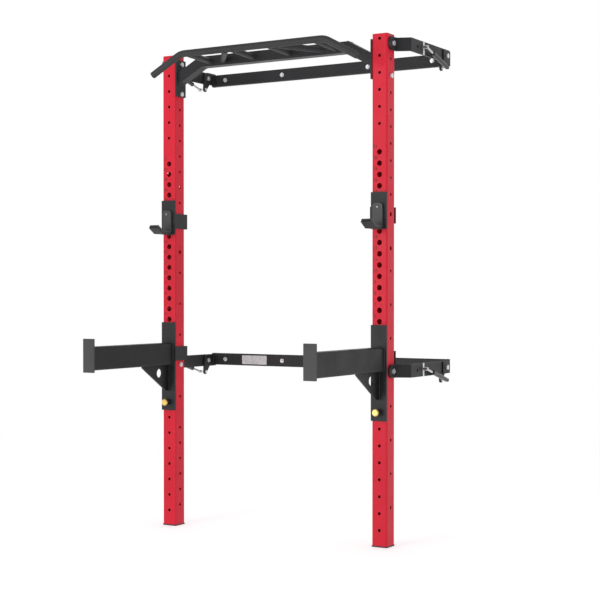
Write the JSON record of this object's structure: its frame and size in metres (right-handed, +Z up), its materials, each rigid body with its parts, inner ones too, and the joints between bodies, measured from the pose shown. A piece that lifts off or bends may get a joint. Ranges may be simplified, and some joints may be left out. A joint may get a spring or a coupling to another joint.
{
  "type": "wall-mounted folding squat rack",
  "caption": "Wall-mounted folding squat rack: two drilled uprights on gas-assisted parallel swing arms, with a multi-grip pull-up bar, bar holders and spotter arms.",
  "frame": {"origin": "centre of the rectangle of outer wall bolts, on the wall surface; the floor is 1503.75 mm below it", "axes": "+Z up, +Y into the wall, -Y towards the user, +X to the right of a user facing the wall"},
  "size_m": [1.415, 1.203, 2.2719],
  "materials": {
    "red_powder": "satin red powder coat",
    "black_powder": "fine-texture black powder coat",
    "bar_texture": "coarse-texture dark grey powder coat",
    "zinc": "bright zinc plate",
    "polished_rod": "polished",
    "spring_black": "gloss black enamel",
    "brass": "machined brass",
    "black_plastic": "moulded",
    "liner_plastic": "smooth low-friction plastic",
    "data_plate": "printed blank"
  },
  "bodies": {
    "wall_mount": {"stringer_upper": "black_powder", "stringer_lower": "black_powder", "wall_ears": "black_powder", "pivot_keepers": "black_powder", "wall_bolts": "zinc", "wall_pivot_bolts": "zinc", "spring_studs": "zinc", "data_plate": "data_plate"},
    "upper_arms": {"arm_upper_left": "black_powder", "arm_upper_right": "black_powder", "stud_plates_upper": "zinc"},
    "lower_arms": {"arm_lower_left": "black_powder", "arm_lower_right": "black_powder", "stud_plates_lower": "zinc"},
    "rack_frame": {"upright_left": "red_powder", "upright_right": "red_powder", "foot_caps": "black_plastic", "top_caps": "black_plastic", "pullup_beam": "black_powder", "pullup_brace_left": "black_powder", "pullup_brace_right": "black_powder", "pullup_end_plates": "black_powder", "pullup_front_bar": "bar_texture", "pullup_bar_caps": "black_plastic", "pullup_neutral_grips": "bar_texture", "pivot_bolts_upper": "zinc", "pivot_bolts_lower": "zinc", "end_plate_bolts": "zinc"},
    "spring_wall_end_upper_left": {"gas_rod_upper_left": "polished_rod"},
    "spring_arm_end_upper_left": {"gas_barrel_upper_left": "spring_black"},
    "spring_wall_end_upper_right": {"gas_barrel_upper_right": "spring_black"},
    "spring_arm_end_upper_right": {"gas_rod_upper_right": "polished_rod"},
    "spring_wall_end_lower_left": {"gas_rod_lower_left": "polished_rod"},
    "spring_arm_end_lower_left": {"gas_barrel_lower_left": "spring_black"},
    "spring_wall_end_lower_right": {"gas_barrel_lower_right": "spring_black"},
    "spring_arm_end_lower_right": {"gas_rod_lower_right": "polished_rod"},
    "bar_holder_left": {"holder_plate_left": "black_powder", "holder_cradle_left": "black_powder", "holder_liner_left": "liner_plastic", "holder_screw_left": "zinc"},
    "spotter_arm_left": {"spotter_plate_left": "black_powder", "spotter_tube_left": "black_powder", "spotter_stop_left": "black_powder", "spotter_gusset_left": "black_powder", "pin_housing_left": "black_powder"},
    "spotter_pin_left": {"pull_pin_left": "brass"},
    "bar_holder_right": {"holder_plate_right": "black_powder", "holder_cradle_right": "black_powder", "holder_liner_right": "liner_plastic", "holder_screw_right": "zinc"},
    "spotter_arm_right": {"spotter_plate_right": "black_powder", "spotter_tube_right": "black_powder", "spotter_stop_right": "black_powder", "spotter_gusset_right": "black_powder", "pin_housing_right": "black_powder"},
    "spotter_pin_right": {"pull_pin_right": "brass"}
  },
  "joints": [
    {"name": "fold", "type": "hinge", "parent": "wall_mount", "child": "upper_arms", "pos_m": [0, -0.072, 0.72625], "axis": [-1, 0, 0], "range_deg": [0, 80]},
    {"name": "lower_arm_fold", "type": "hinge", "parent": "wall_mount", "child": "lower_arms", "pos_m": [0, -0.072, -0.72375], "axis": [-1, 0, 0], "range_deg": [0, 80]},
    {"name": "upright_level", "type": "hinge", "parent": "upper_arms", "child": "rack_frame", "pos_m": [0, -0.4955, 0.72625], "axis": [-1, 0, 0], "range_deg": [-80, 0]},
    {"name": "spring_swing_upper_left", "type": "hinge", "parent": "wall_mount", "child": "spring_wall_end_upper_left", "pos_m": [-0.697, -0.093, 0.66825], "axis": [-1, 0, 0], "range_deg": [0, 70.95]},
    {"name": "spring_stroke_upper_left", "type": "slide", "parent": "spring_wall_end_upper_left", "child": "spring_arm_end_upper_left", "axis": [0, -0.9622, 0.2724], "range_m": [0, 0.06793]},
    {"name": "spring_swing_upper_right", "type": "hinge", "parent": "wall_mount", "child": "spring_wall_end_upper_right", "pos_m": [0.697, -0.093, 0.66825], "axis": [-1, 0, 0], "range_deg": [0, 70.95]},
    {"name": "spring_stroke_upper_right", "type": "slide", "parent": "spring_wall_end_upper_right", "child": "spring_arm_end_upper_right", "axis": [0, -0.9622, 0.2724], "range_m": [0, 0.06793]},
    {"name": "spring_swing_lower_left", "type": "hinge", "parent": "wall_mount", "child": "spring_wall_end_lower_left", "pos_m": [-0.697, -0.093, -0.78175], "axis": [-1, 0, 0], "range_deg": [0, 70.95]},
    {"name": "spring_stroke_lower_left", "type": "slide", "parent": "spring_wall_end_lower_left", "child": "spring_arm_end_lower_left", "axis": [0, -0.9622, 0.2724], "range_m": [0, 0.06793]},
    {"name": "spring_swing_lower_right", "type": "hinge", "parent": "wall_mount", "child": "spring_wall_end_lower_right", "pos_m": [0.697, -0.093, -0.78175], "axis": [-1, 0, 0], "range_deg": [0, 70.95]},
    {"name": "spring_stroke_lower_right", "type": "slide", "parent": "spring_wall_end_lower_right", "child": "spring_arm_end_lower_right", "axis": [0, -0.9622, 0.2724], "range_m": [0, 0.06793]},
    {"name": "holder_unhook_left", "type": "slide", "parent": "rack_frame", "child": "bar_holder_left", "axis": [0, -1, 0], "range_m": [0, 0.0095]},
    {"name": "spotter_unhook_left", "type": "slide", "parent": "rack_frame", "child": "spotter_arm_left", "axis": [0, -1, 0], "range_m": [0, 0.0095]},
    {"name": "pull_pin_left", "type": "slide", "parent": "spotter_arm_left", "child": "spotter_pin_left", "axis": [0, -1, 0], "range_m": [0, 0.0125], "stiffness_N_per_m": 900, "springref_m": -0.008},
    {"name": "holder_unhook_right", "type": "slide", "parent": "rack_frame", "child": "bar_holder_right", "axis": [0, -1, 0], "range_m": [0, 0.0095]},
    {"name": "spotter_unhook_right", "type": "slide", "parent": "rack_frame", "child": "spotter_arm_right", "axis": [0, -1, 0], "range_m": [0, 0.0095]},
    {"name": "pull_pin_right", "type": "slide", "parent": "spotter_arm_right", "child": "spotter_pin_right", "axis": [0, -1, 0], "range_m": [0, 0.0125], "stiffness_N_per_m": 900, "springref_m": -0.008}
  ],
  "couplings": [
    {"joint": "lower_arm_fold", "follows": "fold", "ratio": 1},
    {"joint": "upright_level", "follows": "fold", "ratio": -1},
    {"joint": "spring_swing_upper_left", "follows": "fold", "ratio": 0.88683},
    {"joint": "spring_stroke_upper_left", "follows": "fold", "m_per_rad": 0.048641},
    {"joint": "spring_swing_upper_right", "follows": "fold", "ratio": 0.88683},
    {"joint": "spring_stroke_upper_right", "follows": "fold", "m_per_rad": 0.048641},
    {"joint": "spring_swing_lower_left", "follows": "fold", "ratio": 0.88683},
    {"joint": "spring_stroke_lower_left", "follows": "fold", "m_per_rad": 0.048641},
    {"joint": "spring_swing_lower_right", "follows": "fold", "ratio": 0.88683},
    {"joint": "spring_stroke_lower_right", "follows": "fold", "m_per_rad": 0.048641}
  ]
}
